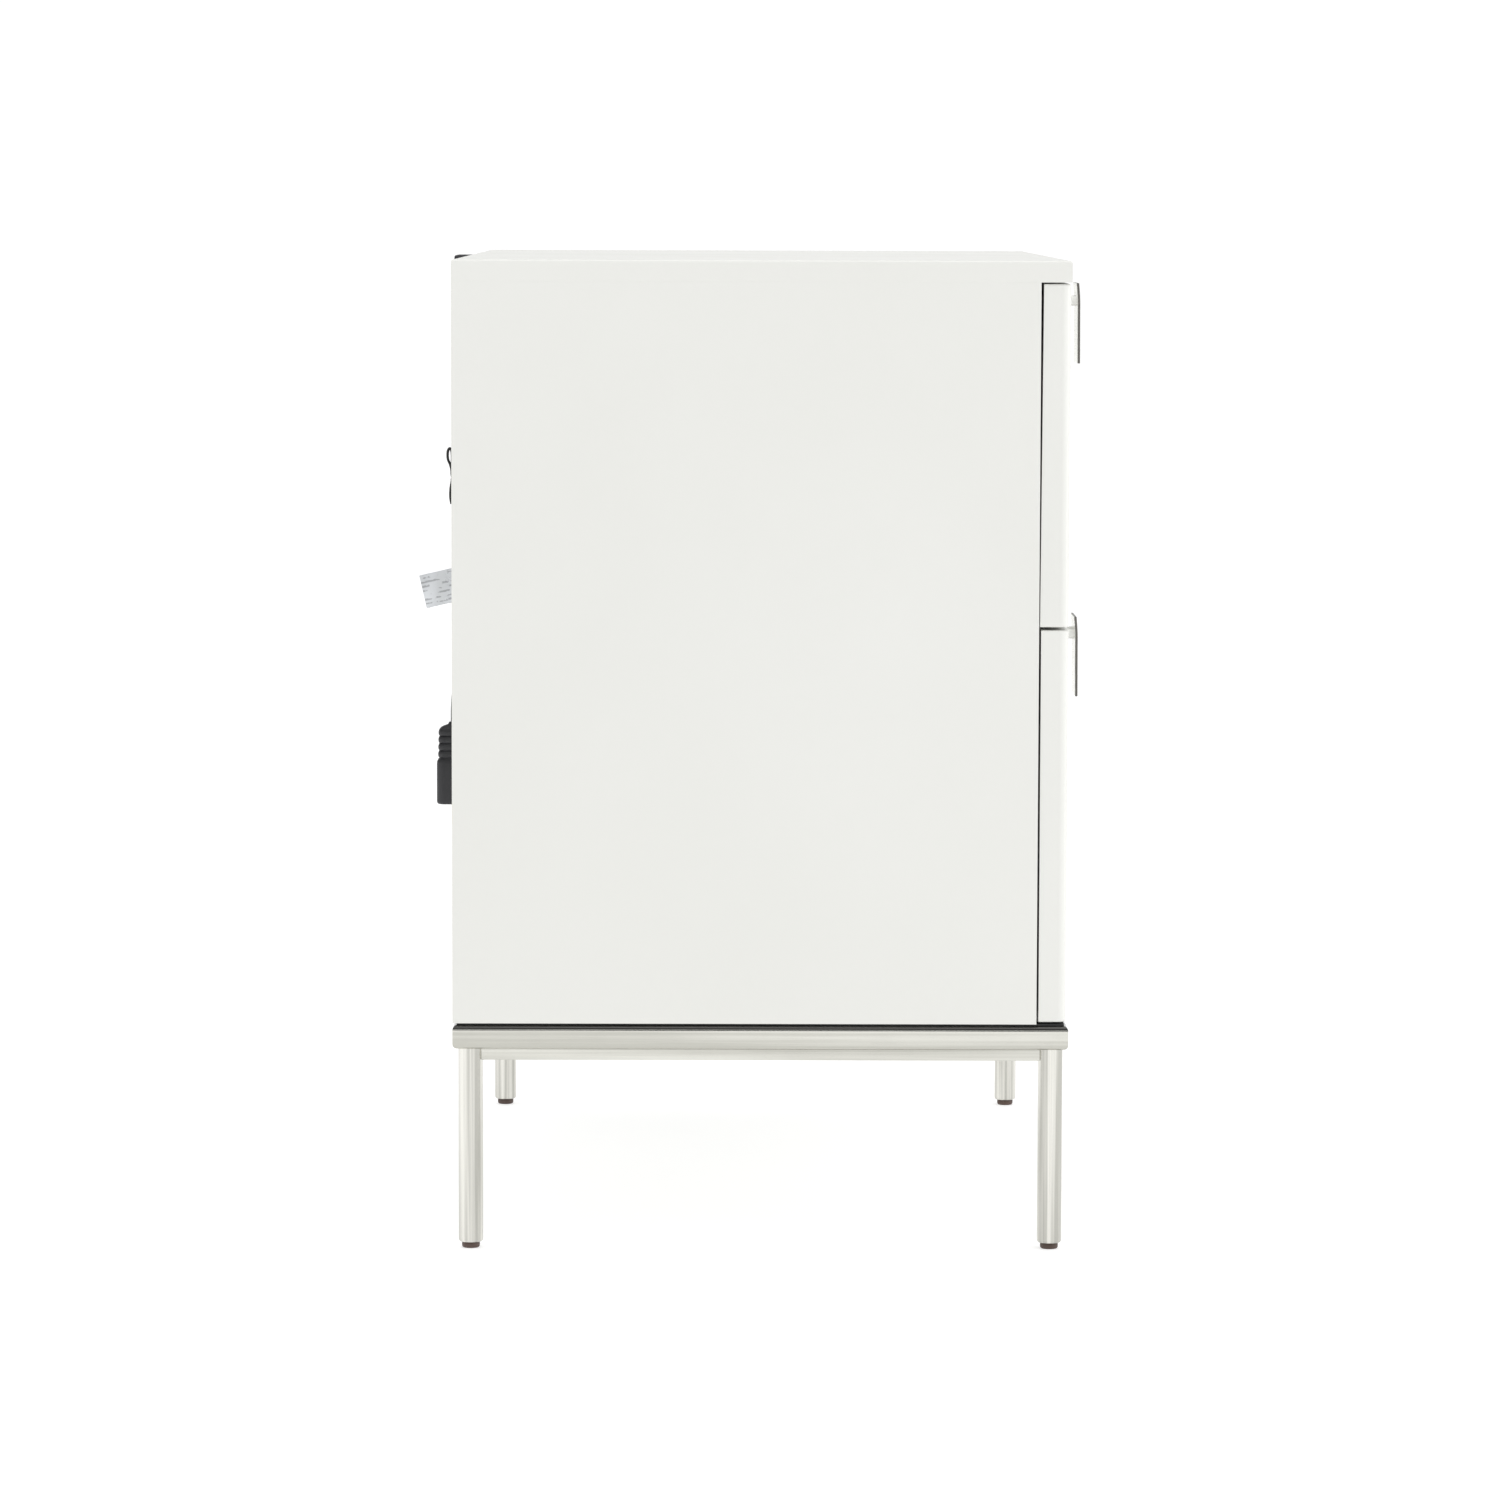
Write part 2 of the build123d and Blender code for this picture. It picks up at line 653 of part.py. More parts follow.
def cord_tag():
    """A stiff label wrapped round the tail and standing out behind it as a flag."""
    bore = CORD_D + 0.9
    flag = block(-0.2, 0.2, 3.6, 29.2, -TAG_H / 2, TAG_H / 2)
    sleeve = Cylinder(bore / 2 + 0.5, TAG_H)
    tag = Rot(-TAG_ANGLE, 0, 0) * flag + sleeve
    return Pos(0, TAG_Y, TAG_Z) * (tag - Cylinder(bore / 2, 40))


def plug_body():
    """A square-shouldered plug: a narrower ribbed grip above and the body below."""
    grip = block(-11, 11, PLUG_Y - 12, PLUG_Y + 12, GRIP_BOTTOM - 1, PLUG_TOP)
    grip = fillet(grip.edges().filter_by(Axis.Z), 5)
    grip = fillet(grip.edges().group_by(Axis.Z)[-1], 2.5)
    body = block(-12.5, 12.5, PLUG_Y - 12.7, PLUG_Y + 12.7, PLUG_BOTTOM, GRIP_BOTTOM)
    body = fillet(body.edges().filter_by(Axis.Z), 5)
    body = fillet(body.edges().group_by(Axis.Z)[0], 1.5)
    start = Vector(*TAIL[-1])
    seat = Pos(start.X, start.Y, start.Z + 10) * Cylinder(CORD_D / 2 + 2, 20)
    return (grip + body) + Pos(0, PLUG_Y, 342) * Cylinder(CORD_D / 2 + 1.2, 2) - seat


def plug_blades():
    """Two flat blades, one each side of the plug's middle."""
    blades = []
    for x in (-6.35, 6.35):
        y0, y1 = BLADE_FRONT_Y, BLADE_FRONT_Y + BLADE_W
        blade = block(x - 0.75, x + 0.75, y0, y1, PLUG_BOTTOM - BLADE_LENGTH, PLUG_BOTTOM)
        blades.append(fillet(blade.edges().filter_by(Axis.X).group_by(Axis.Z)[0], 2))
    return blades


def drawer_nodes(drawer):
    """Every piece of one drawer and of its slides."""
    pieces = {
        "drawer_front": drawer_front(drawer),
        "drawer_side_left": drawer_side(-1, drawer),
        "drawer_side_right": drawer_side(1, drawer),
        "drawer_back": drawer_back(drawer),
        "drawer_floor": drawer_floor(drawer),
        "pull_left": pull(-1, drawer),
        "pull_right": pull(1, drawer),
        "pull_screws": pull_screws(drawer),
    }
    for member, word in enumerate(("case", "middle", "drawer")):
        pieces[f"slide_{word}_members"] = slide_members(member, drawer.slide_z)
    return {f"{drawer.name}_{piece}": shape for piece, shape in pieces.items()}


def all_nodes():
    nodes = {
        "top_panel": top_panel(),
        "side_panel_left": side_panel(-1),
        "side_panel_right": side_panel(1),
        "bottom_panel": shelf(CASE_BOTTOM),
        "divider_panel": shelf(DIVIDER_BOTTOM),
        "back_panel": back_panel(),
        "base_gasket": base_gasket(),
        "case_screws": case_screws(),
    }
    for side in ("left", "right", "front", "back"):
        nodes[f"base_rail_{side}"] = base_rail(side)
    nodes["base_bars"] = base_bars()
    corners = {
        "front_left": (-LEG_X, LEG_FRONT_Y),
        "front_right": (LEG_X, LEG_FRONT_Y),
        "back_left": (-LEG_X, LEG_BACK_Y),
        "back_right": (LEG_X, LEG_BACK_Y),
    }
    for name, place in corners.items():
        nodes[f"leg_{name}"] = leg(*place)
    nodes["feet"] = [foot(*place) for place in corners.values()]
    nodes |= drawer_nodes(UPPER) | drawer_nodes(LOWER)
    nodes |= {
        "steel_liner": steel_liner(),
        "wire_rack": wire_rack(),
        "rack_feet": rack_feet(),
        "lamp_fixture_body": fixture_body(),
        "lamp_holders": lamp_holders(),
        "uv_lamp_tube": uv_lamp(),
        "interlock_switch": interlock_switch(),
        "interlock_magnet": interlock_magnet(),
        "power_box": power_box(),
        "power_rocker": power_rocker(),
        "cord_strain_relief": strain_relief(),
        "cord_upper": rod(0, EXIT_Y, HANK_TOP, RELIEF_BOTTOM, CORD_D),
        "cord_hank": cord_hank(),
        "cord_tail": cord_tail(),
        "hank_tie": hank_tie(),
        "cord_tag": cord_tag(),
        "plug_body": plug_body(),
        "plug_blades": plug_blades(),
    }
    return nodes


os.makedirs("parts", exist_ok=True)
for node, shape in all_nodes().items():
    solids = shape if isinstance(shape, list) else list(shape.solids())
    whole = solids[0] if len(solids) == 1 else Compound(solids)
    export_step(whole, f"parts/{node}.step")
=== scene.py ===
"""A lacquered two-drawer cabinet on a polished steel base, with a UV-C lamp inside: its visual model."""

import json
import math

import bmesh
import bpy
from mathutils import Matrix, Vector


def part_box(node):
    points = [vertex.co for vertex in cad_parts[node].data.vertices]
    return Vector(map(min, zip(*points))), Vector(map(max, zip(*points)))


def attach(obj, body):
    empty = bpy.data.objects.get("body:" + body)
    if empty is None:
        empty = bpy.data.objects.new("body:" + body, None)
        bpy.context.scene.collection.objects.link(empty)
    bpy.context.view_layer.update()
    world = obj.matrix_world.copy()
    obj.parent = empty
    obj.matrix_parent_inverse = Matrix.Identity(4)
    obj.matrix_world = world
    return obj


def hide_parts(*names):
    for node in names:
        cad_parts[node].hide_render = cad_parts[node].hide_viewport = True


MM = 0.001

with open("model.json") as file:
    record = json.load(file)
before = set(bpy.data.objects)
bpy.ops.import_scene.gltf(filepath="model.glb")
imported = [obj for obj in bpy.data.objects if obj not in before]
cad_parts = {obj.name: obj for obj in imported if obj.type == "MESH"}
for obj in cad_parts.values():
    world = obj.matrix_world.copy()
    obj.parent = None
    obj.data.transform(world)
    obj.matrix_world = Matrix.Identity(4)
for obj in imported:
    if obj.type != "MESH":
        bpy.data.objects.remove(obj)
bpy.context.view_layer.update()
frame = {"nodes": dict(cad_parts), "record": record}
nodes = frame["nodes"]
slots = {part["node"]: part["material_slot"] for part in frame["record"]["subparts"]}
members = frame["record"]["behaviour"]["bodies"]
body_of = {name: body for body, names in members.items() for name in names}


def corners(node):
    """A CAD node's lowest and highest corner, in millimetres."""
    low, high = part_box(node)
    return Vector(low) / MM, Vector(high) / MM


BACK_Y = corners("back_panel")[1].y


# Camera

CAMERA_PLACE = (-4.5552, 0.0271, 0.7428)
CAMERA_TURN = (0.2458, 5.2781, 0.1562)  # degrees of yaw to the right, pitch down and roll
LENS = 144.86


def camera():
    """A long lens from the cabinet's left, slightly above it."""
    yaw, pitch, roll = (math.radians(a) for a in CAMERA_TURN)
    ahead, right, up = Vector((1, 0, 0)), Vector((0, -1, 0)), Vector((0, 0, 1))
    ahead, right = (
        ahead * math.cos(yaw) + right * math.sin(yaw),
        right * math.cos(yaw) - ahead * math.sin(yaw),
    )
    ahead, up = (
        ahead * math.cos(pitch) - up * math.sin(pitch),
        up * math.cos(pitch) + ahead * math.sin(pitch),
    )
    right, up = (
        right * math.cos(roll) + up * math.sin(roll),
        up * math.cos(roll) - right * math.sin(roll),
    )
    data = bpy.data.cameras.new("camera")
    data.sensor_width = 36
    data.lens = LENS
    data.clip_end = 50
    cam = bpy.data.objects.new("camera", data)
    turn = Matrix((right, up, -ahead)).transposed().to_4x4()
    cam.matrix_world = Matrix.Translation(CAMERA_PLACE) @ turn
    bpy.context.collection.objects.link(cam)
    bpy.context.scene.camera = cam


camera()


# Materials


class Nodes:
    """A short way to write one material's nodes."""

    def __init__(self, name):
        self.material = bpy.data.materials.new(name)
        self.material.use_nodes = True
        self.tree = self.material.node_tree
        self.shader = self.tree.nodes["Principled BSDF"]
        self.place = self.tree.nodes.new("ShaderNodeTexCoord").outputs["Object"]

    def set(self, **values):
        """Constants on the shader's sockets, with _ for a space."""
        for key, value in values.items():
            self.shader.inputs[key.replace("_", " ")].default_value = value
        return self

    def link(self, output, input_):
        self.tree.links.new(output, input_)

    def scaled(self, x, y, z):
        node = self.tree.nodes.new("ShaderNodeMapping")
        node.inputs["Scale"].default_value = (x, y, z)
        self.link(self.place, node.inputs["Vector"])
        return node.outputs["Vector"]

    def noise(self, scale, detail=4, rough=0.5, place=None):
        """A noise pattern over the object's own coordinates, unless place is given."""
        node = self.tree.nodes.new("ShaderNodeTexNoise")
        node.inputs["Scale"].default_value = scale
        node.inputs["Detail"].default_value = detail
        node.inputs["Roughness"].default_value = rough
        self.link(place or self.place, node.inputs["Vector"])
        return node.outputs["Fac"]

    def spread(self, value, low, high, at=(0.3, 0.7)):
        """Map a value between the two marks of at onto low to high."""
        node = self.tree.nodes.new("ShaderNodeMapRange")
        for key, number in zip(("From Min", "From Max", "To Min", "To Max"), (*at, low, high)):
            node.inputs[key].default_value = number
        self.link(value, node.inputs["Value"])
        return node.outputs["Result"]

    def ramp(self, value, *stops):
        node = self.tree.nodes.new("ShaderNodeValToRGB")
        marks = node.color_ramp.elements
        while len(marks) < len(stops):
            marks.new(0.5)
        for mark, (at, colour) in zip(marks, stops):
            mark.position = at
            mark.color = (*colour, 1)
        self.link(value, node.inputs["Fac"])
        return node.outputs["Color"]

    def colour(self, value, *stops):
        self.link(self.ramp(value, *stops), self.shader.inputs["Base Color"])
        return self

    def rough(self, value, low, high, at=(0.3, 0.7)):
        self.link(self.spread(value, low, high, at), self.shader.inputs["Roughness"])
        return self

    def bump(self, *layers):
        """Layers of (height, strength, distance in metres), the coarsest first."""
        normal = None
        for height, strength, distance in layers:
            node = self.tree.nodes.new("ShaderNodeBump")
            node.inputs["Strength"].default_value = strength
            node.inputs["Distance"].default_value = distance
            self.link(height, node.inputs["Height"])
            if normal:
                self.link(normal, node.inputs["Normal"])
            normal = node.outputs["Normal"]
        self.link(normal, self.shader.inputs["Normal"])
        return self


def lacquer():
    """Warm white satin lacquer, sprayed: faint orange peel and a slightly uneven gloss."""
    m = Nodes("white_lacquer")
    m.set(Coat_Weight=0.2, Coat_Roughness=0.25)
    cloud = m.noise(3, 3)
    m.colour(cloud, (0.3, (0.715, 0.717, 0.684)), (0.7, (0.735, 0.737, 0.708)))
    m.rough(m.noise(14, 5), 0.34, 0.46)
    return m.bump((m.noise(160, 3), 0.10, 0.0004), (m.noise(900, 2), 0.06, 0.0001)).material


def board():
    """Matt melamine on the drawer boxes, with a faint linen print."""
    m = Nodes("drawer_melamine")
    grain = m.noise(40, 6, 0.6, m.scaled(1, 1, 9))
    m.colour(grain, (0.3, (0.60, 0.595, 0.56)), (0.7, (0.68, 0.675, 0.64)))
    m.rough(m.noise(30), 0.5, 0.62)
    return m.bump((grain, 0.15, 0.0002)).material


def polished_steel(name, along, low=(0.50, 0.495, 0.45), high=(0.66, 0.655, 0.605)):
    """Drawn and polished steel: soft streaks run along the tube."""
    m = Nodes(name)
    m.set(Metallic=1.0)
    streak = m.noise(170, 3, 0.55, m.scaled(*(0.012 if axis == along else 1.0 for axis in "xyz")))
    m.colour(streak, (0.38, low), (0.62, high))
    m.rough(m.noise(26, 6, 0.65), 0.08, 0.18)
    fine = m.noise(60, 4, 0.6)
    return m.bump((streak, 0.12, 0.0006), (m.noise(7, 2), 0.12, 0.001), (fine, 0.03, 0.0001)).material


def brushed_steel(name, along, tint=0.62, warm=(1, 1, 1.02)):
    """Brushed metal with its grain along one axis."""
    m = Nodes(name)
    m.set(Metallic=1.0)
    stretch = [1.0 if axis == along else 40.0 for axis in "xyz"]
    grain = m.noise(14, 5, 0.6, m.scaled(*stretch))
    low, high = ([tint * shade * w for w in warm] for shade in (0.88, 1.1))
    m.colour(grain, (0.3, low), (0.7, high))
    m.rough(grain, 0.26, 0.4)
    return m.bump((grain, 0.12, 0.00015)).material


def plastic(name, low, high, rough=(0.42, 0.56), grain=700):
    """Moulded plastic or rubber with a fine texture."""
    m = Nodes(name)
    m.colour(m.noise(18, 5), (0.3, low), (0.7, high))
    m.rough(m.noise(60, 4), *rough)
    return m.bump((m.noise(grain, 2), 0.25, 0.00012)).material


def lamp_glass():
    """Clear quartz with a faint milky bloom."""
    m = Nodes("lamp_quartz")
    m.set(Transmission_Weight=0.9, IOR=1.46)
    m.colour(m.noise(30, 4), (0.3, (0.86, 0.90, 0.95)), (0.7, (0.94, 0.96, 1.0)))
    return m.rough(m.noise(40, 4), 0.04, 0.14).material


LABEL_LEAN = math.radians(13)
LABEL_H = 25.4
LABEL_REACH = 25.7


def label_film():
    """Silver film: soft creases, and faint broken grey bars in place of print."""
    m = Nodes("silver_label")
    m.set(Metallic=0.3)
    turn = m.tree.nodes.new("ShaderNodeMapping")
    turn.inputs["Rotation"].default_value = (LABEL_LEAN, 0, 0)
    m.link(m.place, turn.inputs["Vector"])
    bars = m.tree.nodes.new("ShaderNodeTexWave")
    bars.bands_direction = "Z"
    bars.inputs["Scale"].default_value = 95
    bars.inputs["Distortion"].default_value = 0.6
    bars.inputs["Detail"].default_value = 2
    m.link(turn.outputs["Vector"], bars.inputs["Vector"])
    broken = m.spread(m.noise(330, 2, 0.5, m.scaled(1, 0.5, 1)), 0.0, 1.0, (0.44, 0.6))
    printed = m.tree.nodes.new("ShaderNodeMath")
    printed.operation = "MULTIPLY"
    m.link(bars.outputs["Fac"], printed.inputs[0])
    m.link(broken, printed.inputs[1])
    m.colour(printed.outputs["Value"], (0.35, (0.70, 0.72, 0.745)), (0.75, (0.42, 0.43, 0.45)))
    m.rough(m.noise(120, 4), 0.26, 0.42)
    return m.bump((m.noise(70, 3), 0.6, 0.001)).material


MATERIALS = {
    "lacquer": lacquer(),
    "drawer_board": board(),
    "polished_steel": polished_steel("polished_steel", "y"),
    "zinc_steel": brushed_steel("zinc_plated_steel", "y", 0.56),
    "stainless": brushed_steel("stainless_steel", "x", 0.66),
    "white_enamel": plastic("white_enamel", (0.80, 0.80, 0.79), (0.86, 0.86, 0.85), (0.2, 0.3), 200),
    "white_plastic": plastic("white_plastic", (0.74, 0.74, 0.71), (0.80, 0.80, 0.77)),
    "black_plastic": plastic("black_plastic", (0.013, 0.013, 0.015), (0.024, 0.024, 0.027)),
    "black_rubber": plastic("black_rubber", (0.012, 0.012, 0.012), (0.03, 0.03, 0.03), (0.6, 0.75)),
    "brown_plastic": plastic("brown_plastic", (0.062, 0.038, 0.030), (0.105, 0.064, 0.05)),
    "cord_black": plastic("cord_black", (0.022, 0.022, 0.024), (0.038, 0.038, 0.041), (0.4, 0.55)),
    "silver_label": label_film(),
    "brass": brushed_steel("brass_blades", "z", 0.82, (1, 0.80, 0.42)),
    "lamp_glass": lamp_glass(),
}

STEEL_UP = polished_steel("polished_steel_upright", "z", (0.44, 0.435, 0.40), (0.78, 0.77, 0.72))
# Painted shade: a near-black copy of the polished steel for the rails' upward faces, standing in for the
# shadowed gap and the dark reflection on their top edge.
STEEL_PAINTED_SHADE = polished_steel("polished_steel_painted_shade", "y", (0.10, 0.10, 0.095), (0.16, 0.155, 0.15))
STEEL_ACROSS = polished_steel("polished_steel_across", "x")
# Painted reflection: a near-white copy of the polished steel for the pulls' broad faces, standing in for
# the white front mirrored in them.
PULL_FACE_PAINTED_BRIGHT = polished_steel("polished_steel_pull_painted_reflection", "z", (0.90, 0.895, 0.87), (0.96, 0.955, 0.93))
# Painted dark reflection: a dark copy of the steel for the pulls' thin edges.
PULL_EDGE_PAINTED_DARK = brushed_steel("pull_edge_painted_dark_reflection", "z", 0.2, (1.04, 1, 0.94))
# Painted light: the pulls' steel posts get a white plastic, so the shade between the plate and the front
# does not show.
PULL_POST_PAINTED_LIGHT = plastic("pull_post_painted_light", (0.92, 0.92, 0.90), (0.96, 0.96, 0.94), (0.3, 0.4), 300)


def finish_piece(obj, slot, material=None):
    """Give a piece its material: the one given, else the one for its slot in the record."""
    obj.data.materials.clear()
    obj.data.materials.append(material or MATERIALS[slot])
    return obj


# Mesh building


def new_piece(name, bm, body, slot, smooth=40, material=None):
    """Turn a bmesh in millimetres into a piece of the cabinet."""
    bmesh.ops.recalc_face_normals(bm, faces=bm.faces)
    bmesh.ops.scale(bm, vec=(MM, MM, MM), verts=bm.verts)
    mesh = bpy.data.meshes.new(name)
    bm.to_mesh(mesh)
    bm.free()
    mesh.polygons.foreach_set("use_smooth", [True] * len(mesh.polygons))
    mesh.set_sharp_from_angle(angle=math.radians(smooth))
    obj = bpy.data.objects.new(name, mesh)
    bpy.context.collection.objects.link(obj)
    finish_piece(obj, slot, material)
    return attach(obj, body)


def eased(node, width, segments=3, angle=35):
    """Rebuild a CAD node with its sharp edges rounded."""
    source = nodes[node]
    bm = bmesh.new()
    bm.from_mesh(source.data)
    bmesh.ops.remove_doubles(bm, verts=bm.verts, dist=1e-5)
    bmesh.ops.scale(bm, vec=(1 / MM,) * 3, verts=bm.verts)
    limit = math.radians(angle)
    bmesh.ops.dissolve_limit(bm, angle_limit=math.radians(0.5), verts=bm.verts, edges=bm.edges)
    sharp = [e for e in bm.edges if e.is_manifold and e.calc_face_angle(0) > limit]
    bmesh.ops.bevel(
        bm,
        geom=sharp,
        offset=width,
        segments=segments,
        affect="EDGES",
        profile=0.5,
        clamp_overlap=True,
    )
    piece = new_piece(f"{node}_eased", bm, body_of[node], slots[node], smooth=30)
    mod = piece.modifiers.new("even_light", "WEIGHTED_NORMAL")
    mod.keep_sharp = True
    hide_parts(node)
    return piece


def rounded(half_x, half_y, corner, steps=8):
    """The corners of a rounded rectangle, as (x, y), anticlockwise."""
    points = []
    for quarter, (sx, sy) in enumerate(((1, 1), (-1, 1), (-1, -1), (1, -1))):
        for i in range(steps + 1):
            a = math.radians(90 * (quarter + i / steps))
            x = sx * (half_x - corner) + corner * math.cos(a)
            y = sy * (half_y - corner) + corner * math.sin(a)
            points.append((x, y))
    return points


def turns(sides):
    """Evenly spaced angles round a circle."""
    return [2 * math.pi * k / sides for k in range(sides)]


def loft(bm, rings, closed=True):
    """Skin a list of rings of points; closed adds both ends."""
    rows = [[bm.verts.new(p) for p in ring] for ring in rings]
    for low, high in zip(rows, rows[1:]):
        for i in range(len(low)):
            j = (i + 1) % len(low)
            bm.faces.new((low[i], low[j], high[j], high[i]))
    if closed:
        bm.faces.new(list(reversed(rows[0])))
        bm.faces.new(rows[-1])


def stack(bm, centre, levels, steps=8):
    """Rounded rectangles stacked up Z: levels are (z, half_x, half_y, corner)."""
    rings = []
    for z, half_x, half_y, corner in levels:
        ring = rounded(half_x, half_y, corner, steps)
        rings.append([(centre[0] + x, centre[1] + y, z) for x, y in ring])
    loft(bm, rings)


def tube(bm, points, radius, sides=16):
    """A closed tube along points."""
    points = [Vector(p) for p in points]
    side = None
    rings = []
    for i, at in enumerate(points):
        way = (points[min(i + 1, len(points) - 1)] - points[max(i - 1, 0)]).normalized()
        if side is None:
            side = way.orthogonal().normalized()
        side = (side - way * side.dot(way)).normalized()
        other = way.cross(side)
        r = radius(i / (len(points) - 1)) if callable(radius) else radius
        rings.append([at + (side * math.cos(a) + other * math.sin(a)) * r for a in turns(sides)])
    loft(bm, rings)


def lathe(bm, x, y, profile, sides=72):
    """Turn a profile of (z, radius) round an upright axis; it is closed at both ends."""
    rings = []
    for z, radius in profile:
        rings.append([(x + radius * math.cos(a), y + radius * math.sin(a), z) for a in turns(sides)])
    loft(bm, rings)


# Boards, frame and metal pieces

BOARDS = ["side_panel_left", "side_panel_right", "bottom_panel", "divider_panel", "back_panel"]
BOARDS += [f"{d}_drawer_{p}" for d in ("upper", "lower") for p in ("back", "side_left", "side_right")]

for name, obj in nodes.items():
    finish_piece(obj, slots[name])
for name in BOARDS:
    eased(name, 0.4)
for name in ("interlock_switch", "interlock_magnet", "lamp_holders"):
    eased(name, 0.8)


SIDE_BARS_X = 330.0
LEDGE_SLOPE = 0.35
POSTS_BEHIND = 3.6
FACE_SLOPE = 0.75


def bars():
    """The bars under the rails; the front and back ones have their grain along X."""
    piece = eased("base_bars", 0.8)
    piece.data.materials.append(STEEL_ACROSS)
    for face in piece.data.polygons:
        if abs(face.center.x) < SIDE_BARS_X * MM:
            face.material_index = 1


def rail(side, steel):
    """A rail with its grain along it; its upward-facing ledge gets a near-black steel, painted shade and
    painted dark reflection.
    """
    node = "base_rail_" + side
    obj = finish_piece(nodes[node], slots[node], steel)
    obj.data.materials.append(STEEL_PAINTED_SHADE)
    # Upward-facing faces take the near-black painted-shade steel.
    for face in obj.data.polygons:
        if face.normal.z > LEDGE_SLOPE:
            face.material_index = 1


bars()
for side in ("left", "right"):
    rail(side, MATERIALS["polished_steel"])
for side in ("front", "back"):
    rail(side, STEEL_ACROSS)


def pull_finish(node):
    """Near-white faces, dark edges and white posts, told apart by where a face is and looks: painted
    reflection, painted dark reflection and painted light over the posts' shade.
    """
    obj = nodes[node]
    low, _ = corners(node)
    for material in (PULL_FACE_PAINTED_BRIGHT, PULL_EDGE_PAINTED_DARK, PULL_POST_PAINTED_LIGHT):
        obj.data.materials.append(material)
    for face in obj.data.polygons:
        behind = face.center.y / MM - low.y
        # Posts take the white painted-light plastic, Y-facing faces the near-white painted-reflection
        # steel, and the rest the dark painted-reflection edge steel.
        if behind > POSTS_BEHIND:
            face.material_index = 3
        elif abs(face.normal.y) > FACE_SLOPE:
            face.material_index = 1
        else:
            face.material_index = 2


for drawer in ("upper", "lower"):
    for side in ("left", "right"):
        pull_finish(f"{drawer}_pull_{side}")


# Mains lead

CORD_D = 6.5
LAYERS = (BACK_Y + 4.25, BACK_Y + 10.75)
TURNS = (32.75, 26.2, 19.7)
ARC_LOW, ARC_HIGH = 504.0, 558.0
ARC_STEPS = 14
RUN_STEPS = 5
LEAVING_BEND = 29.0  # radius of the bend below the hank
TAIL_Z = 412.0  # where the tail starts to lean out to the plug
TAIL_LEAN_H = 64.0


def smooth(t):
    """Ease from 0 to 1."""
    t = min(max(t, 0.0), 1.0)
    return t * t * (3 - 2 * t)


def arc(middle_z, radius, y, start, end):
    """Points round an arc of the hank; radius and y are each a number or a (first, last) pair."""
    points = []
    for i in range(ARC_STEPS + 1):
        t = i / ARC_STEPS
        a = math.radians(start + (end - start) * t)
        r = radius[0] + (radius[1] - radius[0]) * smooth((t - 0.2) / 0.6)
        h = y[0] + (y[1] - y[0]) * smooth(t)
        points.append((r * math.cos(a), h, middle_z + r * math.sin(a)))
    return points


def run(x, y, z0, z1):
    """Points along a straight run of the hank, which may change layer."""
    return [
        (x, y[0] + (y[1] - y[0]) * smooth(i / RUN_STEPS), z0 + (z1 - z0) * i / RUN_STEPS)
        for i in range(1, RUN_STEPS)
    ]


def cord_route():
    """The lead's centreline in millimetres, from inside the power box into the plug."""
    near, far = LAYERS
    r = TURNS
    exit_y = corners("cord_upper")[0].y + CORD_D / 2
    points = [(0, exit_y, 622), (0, exit_y, 612), (0, exit_y, 604)]
    points += [(1.5, exit_y - 0.5, 594.5), (11, near + 0.4, 582.5), (24.5, near, 574.5), (31.6, near, 563)]
    for turn in range(3):
        here = r[turn]
        points += run(here, (near, near), ARC_HIGH, ARC_LOW)
        points += arc(ARC_LOW, (here, here), (near, near), 0, -180)
        if turn < 2:
            points += run(-here, (near, near), ARC_LOW, ARC_HIGH)
            points += arc(ARC_HIGH, (here, r[turn + 1]), (near, near), 180, 0)
    points += run(-r[2], (near, far), ARC_LOW, ARC_HIGH)
    points += arc(ARC_HIGH, (r[2], r[2]), (far, far), 180, 0)
    for turn in (2, 1):
        points += run(r[turn], (far, far), ARC_HIGH, ARC_LOW)
        points += arc(ARC_LOW, (r[turn], r[turn - 1]), (far, far), 0, -180)
        points += run(-r[turn - 1], (far, far), ARC_LOW, ARC_HIGH)
        points += arc(ARC_HIGH, (r[turn - 1], r[turn - 1]), (far, far), 180, 0)
    points += run(r[0], (far, far), ARC_HIGH, ARC_LOW)
    return points + cord_leaves(r[0], far)


def cord_leaves(r, y):
    """Off the outer turn, down through the label and into the plug."""
    bend = LEAVING_BEND
    turn = math.acos(bend / (bend + r))
    points = []
    for i in range(ARC_STEPS):
        a = turn * i / (ARC_STEPS - 1)
        points.append((r * math.cos(a), y, ARC_LOW - r * math.sin(a)))
    z0 = points[-1][2]
    for i in range(1, 9):
        a = turn * (1 - i / 8)
        x = bend * (1 - math.cos(a))
        z = z0 - bend * (math.sin(turn) - math.sin(a))
        points.append((x, y - 1.8 * smooth(i / 8), z))
    low = points[-1][2]
    tail_y, plug_y = BACK_Y + 8.9, BACK_Y + 13.4
    points += [(0, tail_y, low + (TAIL_Z - low) * i / 4) for i in range(1, 4)]
    for i in range(13):
        t = i / 12
        points.append((0, tail_y + (plug_y - tail_y) * smooth(t), TAIL_Z - TAIL_LEAN_H * t))
    return points + [(0, plug_y, z) for z in (342, 336, 330)]


